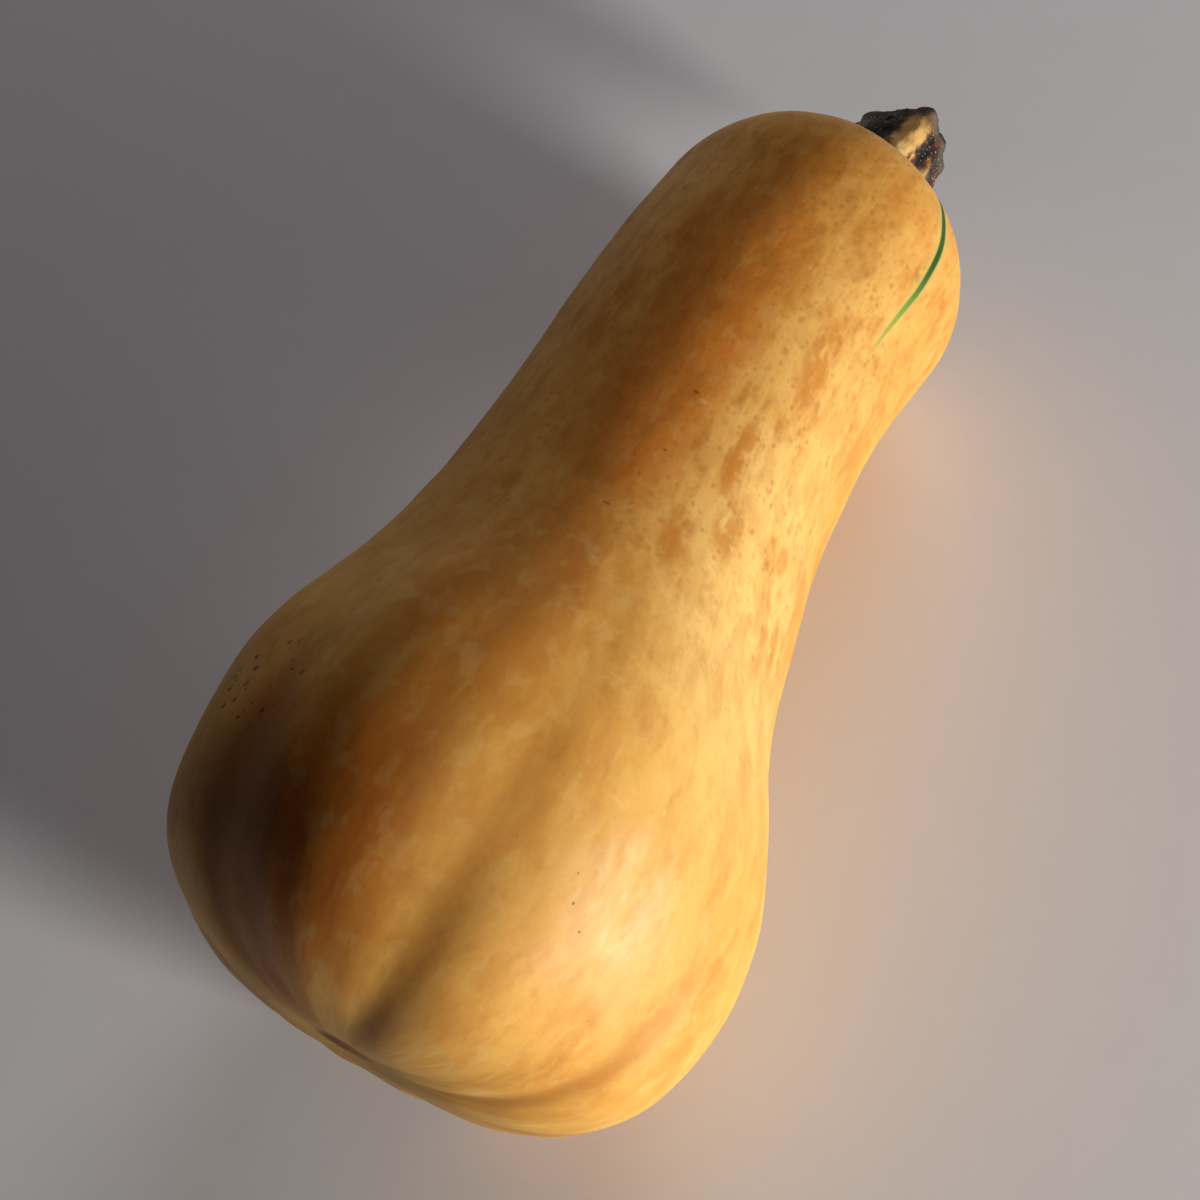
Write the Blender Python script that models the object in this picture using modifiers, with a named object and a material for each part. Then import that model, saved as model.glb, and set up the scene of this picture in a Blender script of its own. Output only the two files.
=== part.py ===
"""A butternut squash lying on its side: the fruit and its dried stem.

Each piece is turned from a profile, given its ribs or ridges by formula, and set along the
fruit's gently bent centre line. The fruit then lies down on its belly and its neck.
X runs from the blossom end to the stem, Y to the left and Z up. The origin is on the
ground under the middle of the whole squash. Lengths are in metres.
"""
import math

import bmesh
import bpy
import numpy as np
from mathutils import Matrix, Vector

MM = 0.001

# Fruit: its length, and the radius that its body has at each station from the blossom end
FRUIT_LENGTH = 0.240
BODY_STATIONS = np.array([24, 48, 77, 106, 134, 163, 192, 221]) * MM
BODY_RADII = np.array([56.3, 54.3, 45.3, 40.7, 37.6, 36.8, 37.0, 37.7]) * MM

# Both ends close as rounded shoulders: how long each one is, and how full its curve is
BLOSSOM_SHOULDER = 48.8 * MM
BLOSSOM_FULLNESS = 2.85
NECK_SHOULDER = 30.9 * MM
NECK_FULLNESS = 2.39

# Centre line: how far it wanders to the left and up at each station
LINE_STATIONS = np.array([0, 48, 108, 173, 240]) * MM
LINE_LEFT = np.array([4.0, -2.2, -0.2, 0.1, -7.5]) * MM
LINE_UP = np.array([-12.1, 0.0, -0.4, 0.0, -4.2]) * MM

# Blossom end: a shallow dimple with a small corky scar at its middle
DIMPLE_DEPTH = 1.5 * MM
DIMPLE_RADIUS = 11.0 * MM
SCAR_HEIGHT = 1.0 * MM
SCAR_RADIUS = 4.0 * MM

# Stem seat: the flat disc that the stem stands on, with a thin gap under the stem
SEAT_RADIUS = 15.5 * MM
STEM_GAP = 0.3 * MM

# Ribs of the bulb: angle of each valley from the top in degrees, at the blossom end and where
# it has faded out, its depth, half its width in degrees, the radius round the blossom scar
# where it is fully deep, and the station where it has faded out
BULB_VALLEYS = (
    (-18, -17, 0.7 * MM, 5.5, 34 * MM, 104 * MM),
    (-68, -71, 1.0 * MM, 5.0, 36 * MM, 60 * MM),
    (-104, -101, 1.0 * MM, 12, 36 * MM, 74 * MM),
    (-142, -140, 1.7 * MM, 11, 36 * MM, 66 * MM),
    (-178, -176, 2.1 * MM, 12, 36 * MM, 78 * MM),
    (146, 143, 1.7 * MM, 10, 36 * MM, 70 * MM),
    (112, 108, 2.1 * MM, 11, 36 * MM, 80 * MM),
    (76, 74, 1.3 * MM, 9, 36 * MM, 64 * MM),
    (31, 37, 1.5 * MM, 8, 36 * MM, 74 * MM),
    (17, 33, 1.6 * MM, 8, 36 * MM, 55 * MM),
)

# Fuller and flatter places: angle from the top in degrees, height, half its width in degrees,
# the station of its middle and half its length
BULB_LOBES = (
    (-90, 2.2 * MM, 28, 28 * MM, 25 * MM),
    (-34, 2.6 * MM, 15, 20 * MM, 20 * MM),
    (-120, 2.0 * MM, 42, 50 * MM, 26 * MM),
    (62, 4.2 * MM, 22, 68 * MM, 25 * MM),
    (6, 3.4 * MM, 27, 39 * MM, 35 * MM),
    (19, 2.3 * MM, 11, 51 * MM, 32 * MM),
    (-57, -2.0 * MM, 22, 75 * MM, 45 * MM),
    (52, 1.3 * MM, 20, 120 * MM, 32 * MM),
)

# Soft ridges along the neck: angle from the top in degrees, height and half its width in degrees
NECK_RIDGES = (
    (-43, 0.4 * MM, 13),
    (-98, 0.8 * MM, 16),
    (-150, 0.6 * MM, 18),
    (164, 0.8 * MM, 16),
    (110, 0.7 * MM, 18),
    (48, -0.7 * MM, 11),
)

# Where the relief begins and ends: the radius round the blossom scar at which the lobes are full,
# the shares of its own radius and reach at which a valley starts and begins to fade, and the
# stations between which the neck's ridges rise and fall
LOBE_START_RADIUS = 36 * MM
VALLEY_START = 0.3
VALLEY_FADE = 0.1
RIDGE_RISE = (60 * MM, 110 * MM)
RIDGE_FALL = (205 * MM, 236 * MM)

# Resting: how deep the belly and the neck are pressed flat where they touch the ground
REST_PRESS = 1.2 * MM
BULB_END = 0.45 * FRUIT_LENGTH
NECK_START = 0.62 * FRUIT_LENGTH

# Stem: heights above the seat and radii down its outer side, from the rim to the flared foot
STEM_OUTLINE = (
    (36.6 * MM, 9.5 * MM),
    (35.4 * MM, 10.2 * MM),
    (31.2 * MM, 10.1 * MM),
    (27.0 * MM, 11.1 * MM),
    (21.6 * MM, 11.8 * MM),
    (16.2 * MM, 12.0 * MM),
    (10.8 * MM, 12.0 * MM),
    (6.0 * MM, 12.7 * MM),
    (2.4 * MM, 13.0 * MM),
    (0.0 * MM, 12.6 * MM),
)
STEM_HEIGHT = STEM_OUTLINE[0][0]
CUT_RINGS = (0.35, 0.7)
CUT_HOLLOW = 2.2 * MM
CUT_SLANT = 0.12
CUT_SLANT_ANGLE = 115
STEM_LEAN = 4.3 * MM
STEM_LEAN_ANGLE = 171

# Stem ridges: angle from the top in degrees, height, and half its width in degrees
STEM_RIDGES = (
    (-21, 4.2 * MM, 19),
    (-62, 1.6 * MM, 16),
    (-112, 1.8 * MM, 18),
    (-159, 2.4 * MM, 18),
    (130, 2.6 * MM, 17),
    (86, 4.4 * MM, 20),
)
FURROW_DEPTH = 1.4 * MM
STEM_SLIMMING = 0.2

# Mesh fineness: sides round each piece, and rings on the shoulders and the body
FRUIT_SIDES = 90
STEM_SIDES = 40
BLOSSOM_RINGS = 15
BODY_RINGS = 22
NECK_RINGS = 11

SKIN_COLOUR = (0.68, 0.34, 0.07, 1.0)
SKIN_ROUGHNESS = 0.42
STEM_COLOUR = (0.12, 0.065, 0.03, 1.0)
STEM_ROUGHNESS = 0.85


def clear_scene():
    for obj in list(bpy.data.objects):
        bpy.data.objects.remove(obj, do_unlink=True)


def make_collection(name):
    collection = bpy.data.collections.new(name)
    bpy.context.scene.collection.children.link(collection)
    return collection


def make_material(name, colour, roughness):
    material = bpy.data.materials.new(name)
    material.use_nodes = True
    shader = material.node_tree.nodes["Principled BSDF"]
    shader.inputs["Base Color"].default_value = colour
    shader.inputs["Roughness"].default_value = roughness
    shader.inputs["Metallic"].default_value = 0.0
    return material


def through(stations, values, place):
    """The height at a place of the smooth curve that passes through the values."""
    slopes = np.gradient(values, stations)
    last = len(stations) - 1
    if place <= stations[0]:
        return values[0] + slopes[0] * (place - stations[0])
    if place >= stations[last]:
        return values[last] + slopes[last] * (place - stations[last])
    right = int(np.searchsorted(stations, place))
    left = right - 1
    gap = stations[right] - stations[left]
    t = (place - stations[left]) / gap
    ends = values[left] * (1 + 2 * t) * (1 - t) ** 2 + values[right] * t * t * (3 - 2 * t)
    return ends + gap * t * (1 - t) * (slopes[left] * (1 - t) - slopes[right] * t)


def smooth_step(low, high, value):
    t = min(max((value - low) / (high - low), 0.0), 1.0)
    return t * t * (3 - 2 * t)


def bell(angle, centre, half_width):
    """1 at the centre angle, falling smoothly to 0 on both sides; angles in degrees."""
    away = (angle - centre + 180) % 360 - 180
    return math.exp(-((away / half_width) ** 2))


def shoulder_points(length, fullness, rings):
    """How far along a shoulder each ring is, and its share of the full radius."""
    points = []
    for ring in range(rings):
        turn = 0.5 * math.pi * ring / rings
        along = length * (1 - math.cos(turn) ** (2 / fullness))
        points.append((along, math.sin(turn) ** (2 / fullness)))
    return points


def blossom_lift(radius):
    """How far the dimple pulls the blossom end in, less the scar that stands in it."""
    dimple = DIMPLE_DEPTH * math.exp(-((radius / DIMPLE_RADIUS) ** 2))
    return dimple - SCAR_HEIGHT * math.exp(-((radius / SCAR_RADIUS) ** 2))


def seat_station():
    """The station where the neck's shoulder has narrowed to the stem seat."""
    full = through(BODY_STATIONS, BODY_RADII, FRUIT_LENGTH)
    share = (1 - (SEAT_RADIUS / full) ** NECK_FULLNESS) ** (1 / NECK_FULLNESS)
    return FRUIT_LENGTH - NECK_SHOULDER * (1 - share)


def fruit_profile():
    """Radius and station down the outer side, from the stem seat to the blossom end."""
    rings = []
    for along, share in shoulder_points(BLOSSOM_SHOULDER, BLOSSOM_FULLNESS, BLOSSOM_RINGS):
        radius = share * through(BODY_STATIONS, BODY_RADII, along)
        rings.append((radius, along + blossom_lift(radius)))
    body_end = FRUIT_LENGTH - NECK_SHOULDER
    for ring in range(BODY_RINGS + 1):
        station = BLOSSOM_SHOULDER + (body_end - BLOSSOM_SHOULDER) * ring / BODY_RINGS
        rings.append((through(BODY_STATIONS, BODY_RADII, station), station))
    for along, share in reversed(shoulder_points(NECK_SHOULDER, NECK_FULLNESS, NECK_RINGS)):
        station = FRUIT_LENGTH - along
        radius = share * through(BODY_STATIONS, BODY_RADII, station)
        if radius > SEAT_RADIUS:
            rings.append((radius, station))
    rings.append((SEAT_RADIUS, seat_station()))
    rings.append((0.0, seat_station()))
    return list(reversed(rings))


def stem_profile():
    """Radius and height down the outer side, from the hollow of the cut to the foot."""
    rim = STEM_OUTLINE[0][1]
    rings = [(0.0, STEM_HEIGHT - CUT_HOLLOW)]
    for share in CUT_RINGS:
        rings.append((share * rim, STEM_HEIGHT - CUT_HOLLOW * (1 - share ** 2)))
    rings += [(radius, height) for height, radius in STEM_OUTLINE]
    rings.append((0.0, 0.0))
    return rings


def turn(name, profile, sides, material, collection):
    """An object turned about Z from a profile, with its modifier applied."""
    mesh = bpy.data.meshes.new(name + "_profile")
    points = [(radius, 0.0, height) for radius, height in profile]
    mesh.from_pydata(points, [(i, i + 1) for i in range(len(points) - 1)], [])
    guide = bpy.data.objects.new(name + "_profile", mesh)
    collection.objects.link(guide)
    screw = guide.modifiers.new("turn", "SCREW")
    screw.axis = "Z"
    screw.steps = sides
    screw.render_steps = sides
    screw.use_merge_vertices = True
    screw.merge_threshold = 0.00001
    bpy.context.view_layer.update()
    evaluated = guide.evaluated_get(bpy.context.evaluated_depsgraph_get())
    turned = bpy.data.meshes.new_from_object(evaluated)
    turned.name = name
    bpy.data.objects.remove(guide, do_unlink=True)
    obj = bpy.data.objects.new(name, turned)
    turned.materials.clear()
    turned.materials.append(material)
    turned.shade_smooth()
    collection.objects.link(obj)
    return obj


def polar(point):
    """Station, radius and angle from the top in degrees of a point on a turned shape."""
    radius = math.hypot(point.x, point.y)
    return point.z, radius, math.degrees(math.atan2(point.x, point.y))


def rib_relief(station, radius, angle):
    """How far the skin stands out from the turned shape: valleys below 0, ridges above."""
    relief = 0.0
    for centre, height, width, middle, length in BULB_LOBES:
        relief += height * bell(angle, centre, width) * math.exp(-(((station - middle) / length) ** 2))
    relief *= smooth_step(0.0, LOBE_START_RADIUS, radius)
    for start_angle, end_angle, depth, width, start_radius, reach in BULB_VALLEYS:
        centre = start_angle + (end_angle - start_angle) * min(max(station / reach, 0.0), 1.0)
        fade = smooth_step(VALLEY_START * start_radius, start_radius, radius)
        fade *= 1 - smooth_step(VALLEY_FADE * reach, reach, station)
        relief -= depth * fade * bell(angle, centre, width)
    along = smooth_step(*RIDGE_RISE, station) * (1 - smooth_step(*RIDGE_FALL, station))
    for centre, height, width in NECK_RIDGES:
        relief += height * along * bell(angle, centre, width)
    return relief


def stem_relief(height, angle):
    """Ridges with furrows between them, strongest at the foot and at the rim."""
    crest = max(rise * bell(angle, centre, width) for centre, rise, width in STEM_RIDGES)
    slimmer = STEM_SLIMMING * math.sin(math.pi * min(height / STEM_HEIGHT, 1.0)) ** 2
    return crest * (1 - slimmer) - FURROW_DEPTH


def line_point(station):
    left = through(LINE_STATIONS, LINE_LEFT, station)
    up = through(LINE_STATIONS, LINE_UP, station)
    return Vector((station, left, up))


def line_frame(station):
    """A matrix that carries the turned shape's axes to the centre line at a station."""
    step = 0.5 * MM
    ahead = (line_point(station + step) - line_point(station - step)).normalized()
    left = Vector((0, 0, 1)).cross(ahead).normalized()
    up = ahead.cross(left)
    frame = Matrix((left, up, ahead)).transposed().to_4x4()
    return Matrix.Translation(line_point(station)) @ frame


def rib_fruit(obj):
    mesh = obj.data
    moves = []
    for vertex in mesh.vertices:
        station, radius, angle = polar(vertex.co)
        on_seat = radius < SEAT_RADIUS + 0.1 * MM and station > NECK_START
        relief = 0.0 if on_seat else rib_relief(station, radius, angle)
        moves.append(vertex.co + vertex.normal * relief)
    for vertex, place in zip(mesh.vertices, moves):
        vertex.co = place


def bend_fruit(obj):
    for vertex in obj.data.vertices:
        across = Vector((vertex.co.x, vertex.co.y, 0.0))
        vertex.co = line_frame(vertex.co.z) @ across


def shape_stem(obj):
    """Raises the ridges, slants the cut and leans the stem, foot left flat on the seat."""
    slant = math.radians(CUT_SLANT_ANGLE)
    lean = math.radians(STEM_LEAN_ANGLE)
    for vertex in obj.data.vertices:
        height, radius, angle = polar(vertex.co)
        share = min(max(height / STEM_HEIGHT, 0.0), 1.0)
        outward = Vector((vertex.co.x, vertex.co.y, 0.0))
        if radius > 0:
            full = np.interp(height, *stem_radius_table())
            outward *= 1 + stem_relief(height, angle) / full
        side = outward.x * math.sin(slant) + outward.y * math.cos(slant)
        height += CUT_SLANT * side * share ** 3
        offset = STEM_LEAN * share ** 2
        outward += Vector((math.sin(lean), math.cos(lean), 0.0)) * offset
        vertex.co = Vector((outward.x, outward.y, height))


def stem_radius_table():
    """Heights and radii of the stem's outer side, from the foot upward."""
    upward = STEM_OUTLINE[::-1]
    return [height for height, radius in upward], [radius for height, radius in upward]


def lowest(obj, start, end):
    return min((v.co for v in obj.data.vertices if start <= v.co.x <= end), key=lambda co: co.z)


def lay_down(fruit, stem):
    """Tilts both pieces until the belly and the neck are equally low, and sets them on Z = 0."""
    for _ in range(6):
        belly = lowest(fruit, 0.0, BULB_END).copy()
        neck = lowest(fruit, NECK_START, FRUIT_LENGTH).copy()
        tilt = math.atan2(neck.z - belly.z, neck.x - belly.x)
        place = Matrix.Rotation(tilt, 4, "Y") @ Matrix.Translation(-belly)
        for obj in (fruit, stem):
            obj.data.transform(place)
    for obj in (fruit, stem):
        obj.data.transform(Matrix.Translation((0, 0, -REST_PRESS)))
    for vertex in fruit.data.vertices:
        vertex.co.z = max(vertex.co.z, 0.0)


def centre_on_origin(pieces):
    """Moves all the pieces together until their box stands centred over the origin."""
    corners = np.array([vertex.co for obj in pieces for vertex in obj.data.vertices])
    middle = (corners.min(axis=0) + corners.max(axis=0)) / 2
    for obj in pieces:
        obj.data.transform(Matrix.Translation((-middle[0], -middle[1], 0)))


def close_up(obj):
    """Triangulates, so that every face is flat, and turns all the faces outward."""
    mesh = bmesh.new()
    mesh.from_mesh(obj.data)
    bmesh.ops.triangulate(mesh, faces=mesh.faces[:], quad_method="SHORT_EDGE")
    bmesh.ops.recalc_face_normals(mesh, faces=mesh.faces[:])
    mesh.to_mesh(obj.data)
    mesh.free()


def build_fruit(collection):
    skin = make_material("skin", SKIN_COLOUR, SKIN_ROUGHNESS)
    fruit = turn("fruit", fruit_profile(), FRUIT_SIDES, skin, collection)
    rib_fruit(fruit)
    bend_fruit(fruit)
    return fruit


def build_stem(collection):
    cork = make_material("stem_bark", STEM_COLOUR, STEM_ROUGHNESS)
    stem = turn("stem", stem_profile(), STEM_SIDES, cork, collection)
    shape_stem(stem)
    stem.data.transform(line_frame(seat_station()) @ Matrix.Translation((0, 0, STEM_GAP)))
    return stem


def main():
    clear_scene()
    collection = make_collection("butternut_squash")
    fruit = build_fruit(collection)
    stem = build_stem(collection)
    lay_down(fruit, stem)
    centre_on_origin((fruit, stem))
    for piece in (fruit, stem):
        close_up(piece)


main()
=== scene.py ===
"""A butternut squash lying on its side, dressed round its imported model.

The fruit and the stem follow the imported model's own formulas at a finer scale, with the small
unevenness, scars and fibres that a rind and a dried stem have. Lengths are in metres, X runs
from the blossom end to the stem, Y to the left and Z up.
"""

import math
from types import SimpleNamespace

import bpy
import numpy as np
from bpy.props import FloatProperty, FloatVectorProperty, IntProperty, PointerProperty
from bpy.types import Operator, Panel, PropertyGroup
from mathutils import Matrix, Vector, noise


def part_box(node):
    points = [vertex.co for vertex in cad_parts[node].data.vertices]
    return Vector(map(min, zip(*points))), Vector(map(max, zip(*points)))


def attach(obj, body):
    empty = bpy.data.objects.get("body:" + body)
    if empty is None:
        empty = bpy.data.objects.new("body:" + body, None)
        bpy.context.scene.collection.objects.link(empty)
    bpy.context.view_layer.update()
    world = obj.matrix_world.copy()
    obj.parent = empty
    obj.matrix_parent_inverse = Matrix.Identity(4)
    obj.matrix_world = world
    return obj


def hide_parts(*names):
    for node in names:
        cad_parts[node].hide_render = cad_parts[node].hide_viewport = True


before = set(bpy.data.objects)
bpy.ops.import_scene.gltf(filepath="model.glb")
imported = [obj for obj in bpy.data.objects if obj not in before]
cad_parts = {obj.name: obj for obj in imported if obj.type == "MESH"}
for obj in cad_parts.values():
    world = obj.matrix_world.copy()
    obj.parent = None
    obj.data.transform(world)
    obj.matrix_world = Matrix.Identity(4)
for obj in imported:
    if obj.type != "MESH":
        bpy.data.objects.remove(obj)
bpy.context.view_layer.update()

bl_info = {
    "name": "Butternut Squash",
    "version": (1, 0, 0),
    "blender": (4, 5, 0),
    "location": "View3D > Sidebar > Squash",
    "description": "Builds a butternut squash with its dried stem",
    "category": "Add Mesh",
}

MM = 0.001
CM = 0.01

# Fruit: its length, and the radius that its body has at each station from the blossom end
FRUIT_LENGTH = 0.240
BODY_STATIONS = np.array([24, 48, 77, 106, 134, 163, 192, 221]) * MM
BODY_RADII = np.array([56.3, 54.3, 45.3, 40.7, 37.6, 36.8, 37.0, 37.7]) * MM

# Both ends close as rounded shoulders: how long each one is, and how full its curve is
BLOSSOM_SHOULDER = 48.8 * MM
BLOSSOM_FULLNESS = 2.85
NECK_SHOULDER = 30.9 * MM
NECK_FULLNESS = 2.39

# Centre line: how far it wanders to the left and up at each station
LINE_STATIONS = np.array([0, 48, 108, 173, 240]) * MM
LINE_LEFT = np.array([4.0, -2.2, -0.2, 0.1, -7.5]) * MM
LINE_UP = np.array([-12.1, 0.0, -0.4, 0.0, -4.2]) * MM

# Blossom end: a shallow dimple with a small corky scar at its middle
DIMPLE_DEPTH = 1.5 * MM
DIMPLE_RADIUS = 11.0 * MM
SCAR_HEIGHT = 1.0 * MM
SCAR_RADIUS = 4.0 * MM

# Stem seat: the flat disc that the stem stands on, with a thin gap under the stem
SEAT_RADIUS = 15.5 * MM
STEM_GAP = 0.3 * MM

# Ribs of the bulb: angle of each valley from the top in degrees, at the blossom end and where
# it has faded out, its depth, half its width in degrees, the radius round the blossom scar
# where it is fully deep, and the station where it has faded out
BULB_VALLEYS = (
    (-18, -17, 0.7 * MM, 5.5, 34 * MM, 104 * MM),
    (-68, -71, 1.0 * MM, 5.0, 36 * MM, 60 * MM),
    (-104, -101, 1.0 * MM, 12, 36 * MM, 74 * MM),
    (-142, -140, 1.7 * MM, 11, 36 * MM, 66 * MM),
    (-178, -176, 2.1 * MM, 12, 36 * MM, 78 * MM),
    (146, 143, 1.7 * MM, 10, 36 * MM, 70 * MM),
    (112, 108, 2.1 * MM, 11, 36 * MM, 80 * MM),
    (76, 74, 1.3 * MM, 9, 36 * MM, 64 * MM),
    (31, 37, 1.5 * MM, 8, 36 * MM, 74 * MM),
    (17, 33, 1.6 * MM, 8, 36 * MM, 55 * MM),
)

# Fuller and flatter places: angle from the top in degrees, height, half its width in degrees,
# the station of its middle and half its length
BULB_LOBES = (
    (-90, 2.2 * MM, 28, 28 * MM, 25 * MM),
    (-34, 2.6 * MM, 15, 20 * MM, 20 * MM),
    (-120, 2.0 * MM, 42, 50 * MM, 26 * MM),
    (62, 4.2 * MM, 22, 68 * MM, 25 * MM),
    (6, 3.4 * MM, 27, 39 * MM, 35 * MM),
    (19, 2.3 * MM, 11, 51 * MM, 32 * MM),
    (-57, -2.0 * MM, 22, 75 * MM, 45 * MM),
    (52, 1.3 * MM, 20, 120 * MM, 32 * MM),
)

# Soft ridges along the neck: angle from the top in degrees, height and half its width in degrees
NECK_RIDGES = (
    (-43, 0.4 * MM, 13),
    (-98, 0.8 * MM, 16),
    (-150, 0.6 * MM, 18),
    (164, 0.8 * MM, 16),
    (110, 0.7 * MM, 18),
    (48, -0.7 * MM, 11),
)

# Where the relief begins and ends: the radius round the blossom scar at which the lobes are full,
# the shares of its own radius and reach at which a valley starts and begins to fade, and the
# stations between which the neck's ridges rise, and between which they fall
LOBE_START_RADIUS = 36 * MM
VALLEY_START = 0.3
VALLEY_FADE = 0.1
RIDGE_RISE = (60 * MM, 110 * MM)
RIDGE_FALL = (205 * MM, 236 * MM)

# Small scars: station, angle from the top in degrees, half its length, half its width, height
SCARS = (
    (135 * MM, -14, 0.8 * MM, 1.8 * MM, 0.30 * MM),
    (96 * MM, -5, 0.5 * MM, 1.2 * MM, -0.20 * MM),
    (80 * MM, -8, 0.4 * MM, 1.1 * MM, 0.12 * MM),
    (60 * MM, -24, 0.5 * MM, 2.4 * MM, 0.10 * MM),
    (46 * MM, -34, 0.5 * MM, 1.8 * MM, 0.15 * MM),
    (33 * MM, -37, 0.6 * MM, 0.7 * MM, -0.12 * MM),
)

# Resting: how deep the belly and the neck are pressed flat where they touch the ground, where
# the belly ends and the neck starts, and how often the tilt between them is corrected
REST_PRESS = 1.2 * MM
BULB_END = 0.45 * FRUIT_LENGTH
NECK_START = 0.62 * FRUIT_LENGTH
REST_ROUNDS = 6

# Stem: heights above the seat and radii of its outer side, from the flared foot to the rim
STEM_OUTLINE = (
    (0.0 * MM, 12.6 * MM),
    (2.4 * MM, 13.0 * MM),
    (6.0 * MM, 12.7 * MM),
    (10.8 * MM, 12.0 * MM),
    (16.2 * MM, 12.0 * MM),
    (21.6 * MM, 11.8 * MM),
    (27.0 * MM, 11.1 * MM),
    (31.2 * MM, 10.1 * MM),
    (35.4 * MM, 10.2 * MM),
    (36.6 * MM, 9.5 * MM),
)
STEM_HEIGHT = STEM_OUTLINE[-1][0]
CUT_HOLLOW = 2.2 * MM
CUT_SLANT = 0.12
CUT_SLANT_ANGLE = 115
STEM_LEAN = 4.3 * MM
STEM_LEAN_ANGLE = 171

# Stem ridges: angle from the top in degrees, height, and half its width in degrees
STEM_RIDGES = (
    (-21, 4.2 * MM, 19),
    (-62, 1.6 * MM, 16),
    (-112, 1.8 * MM, 18),
    (-159, 2.4 * MM, 18),
    (130, 2.6 * MM, 17),
    (86, 4.4 * MM, 20),
)
FURROW_DEPTH = 1.4 * MM
STEM_SLIMMING = 0.2
FULL_CREST = 3 * MM

# Size of the grain of each kind of unevenness; the ragged rim's is in centimetres round the stem
BROAD_GRAIN = 28 * MM
SMALL_GRAIN = 9 * MM
SMALL_GRAIN_SHARE = 0.3
FIBRE_GRAIN = 1.1 * MM
LUMP_GRAIN = 4.5 * MM
RAGGED_GRAIN = 0.45

# Radius in centimetres of the even cylinder that the rind's pattern is laid on
MAP_RADIUS = 4.0

# Amber blotches: station in centimetres, angle from the top in degrees, half its length and
# half its width in centimetres, and how strong it is
BLOTCHES = (
    (9.4, -24, 0.9, 0.35, 0.75),
    (10.9, -39, 1.2, 0.50, 0.65),
    (12.6, -32, 1.4, 0.28, 0.70),
    (9.9, -73, 1.2, 0.30, 0.55),
    (12.0, -74, 0.7, 0.25, 0.40),
    (15.7, -78, 1.2, 0.30, 0.45),
    (16.2, -43, 2.1, 0.50, 0.70),
    (17.2, -12, 1.4, 0.40, 0.75),
    (18.4, -18, 0.9, 0.45, 0.55),
    (9.3, 22, 1.4, 0.35, 0.75),
    (15.2, 28, 2.0, 0.50, 0.70),
    (17.8, 18, 1.8, 0.40, 0.80),
    (14.0, 130, 1.4, 0.50, 0.60),
    (10.5, 172, 1.6, 0.45, 0.55),
    (18.5, -125, 1.5, 0.45, 0.55),
)

# Broad pale places, redder places and darker places, in the same order of values as the blotches.
# The pale places on the right side are partly painted light, paler where the main light falls.
PALE_AND_PAINTED_LIGHT_SIDES = (
    (9.6, -56, 6.5, 3.4, 0.75),
    (14.5, -50, 9.0, 2.4, 0.45),
    (4.2, -44, 4.8, 3.0, 0.16),
    (13.5, 170, 7.0, 3.0, 0.35),
)
# Redder band along the top of the neck and bulb: partly a real redder tone, partly painted as the
# reddish edge of the shade where the main light grazes
RUDDY_AND_SHADE_EDGE_SIDES = (
    (15.0, -3, 8.5, 1.5, 0.80),
    (6.6, 3, 3.6, 1.9, 0.35),
    (2.2, 6, 2.8, 1.9, 0.80),
    (8.0, 115, 6.0, 2.2, 0.40),
)
# Darker places on the bulb's left side along its valleys, and their colour: painted shade
PAINTED_SHADE_SIDES = (
    (1.2, 33, 1.6, 0.55, 0.60),
    (1.6, 19, 1.7, 0.55, 0.55),
    (2.6, 30, 1.8, 1.6, 0.30),
)
PAINTED_SHADE_COLOUR = (0.22, 0.055, 0.020)

# Small places: station in centimetres, angle from the top in degrees, half the length and half
# the width in centimetres
DARK_SPECKS = (
    (13.55, -12.4, 0.06, 0.10),
    (9.6, -5, 0.045, 0.12),
    (11.8, -12, 0.05, 0.05),
    (3.28, -37, 0.03, 0.04),
    (3.04, -41, 0.025, 0.035),
)
PALE_SPECKS = (
    (13.42, -15.6, 0.07, 0.12),
    (8.0, -8, 0.035, 0.14),
    (6.0, -24, 0.04, 0.26),
    (4.6, -34, 0.05, 0.20),
    (4.88, -44.5, 0.06, 0.07),
    (3.95, -48, 0.10, 0.12),
)
# Pale waxy patch on the bulb's right shoulder: partly real pale marks, partly a painted highlight where
# the main light's gloss falls
WAX_AND_HIGHLIGHT_PATCH = (3.7, -45, 1.2, 1.7)
PIT_PATCH = (4.15, 40, 1.1, 1.4)
# Grey hump on the stem, partly painted shade
GREY_AND_SHADE_PATCH = (2.6, 84, 1.5, 0.8)
PALE_FOOT_PATCH = (0.6, -75, 1.4, 0.7)

# Colours of the small things on the rind and of the stem's bark and pith
# The pale waxy colour is partly a painted highlight
WAX_AND_HIGHLIGHT_COLOUR = (0.92, 0.74, 0.42)
LINE_HALO_COLOUR = (0.62, 0.56, 0.20)
LINE_FAINT_COLOUR = (0.20, 0.33, 0.055)
DARK_MARK_COLOUR = (0.055, 0.022, 0.012)
PALE_MARK_COLOUR = (0.80, 0.56, 0.25)
COLLAR_AND_SHADE_COLOUR = (0.30, 0.13, 0.035)
BLOSSOM_SCAR_COLOUR = (0.16, 0.085, 0.04)
GREY_BARK_AND_SHADE_COLOUR = (0.13, 0.105, 0.070)
PITH_COLOURS = ((0.05, 0.03, 0.018), (0.26, 0.17, 0.085))

# Radius in centimetres that the stem's small places are measured with
STEM_GIRTH = 1.1

# Lights: how far away they stand, and for each one the side in degrees that it comes from, its
# size and its colour
LIGHT_DISTANCE = 1.5
KEY_AZIMUTH = -14
KEY_SIZE = 0.35
KEY_COLOUR = (1.0, 0.97, 0.92)
SECOND_AZIMUTH = 95
SECOND_ELEVATION = 32
SECOND_SIZE = 0.8
SECOND_COLOUR = (1.0, 0.93, 0.95)
SKY_COLOUR = (0.96, 0.86, 1.0, 1.0)

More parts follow.
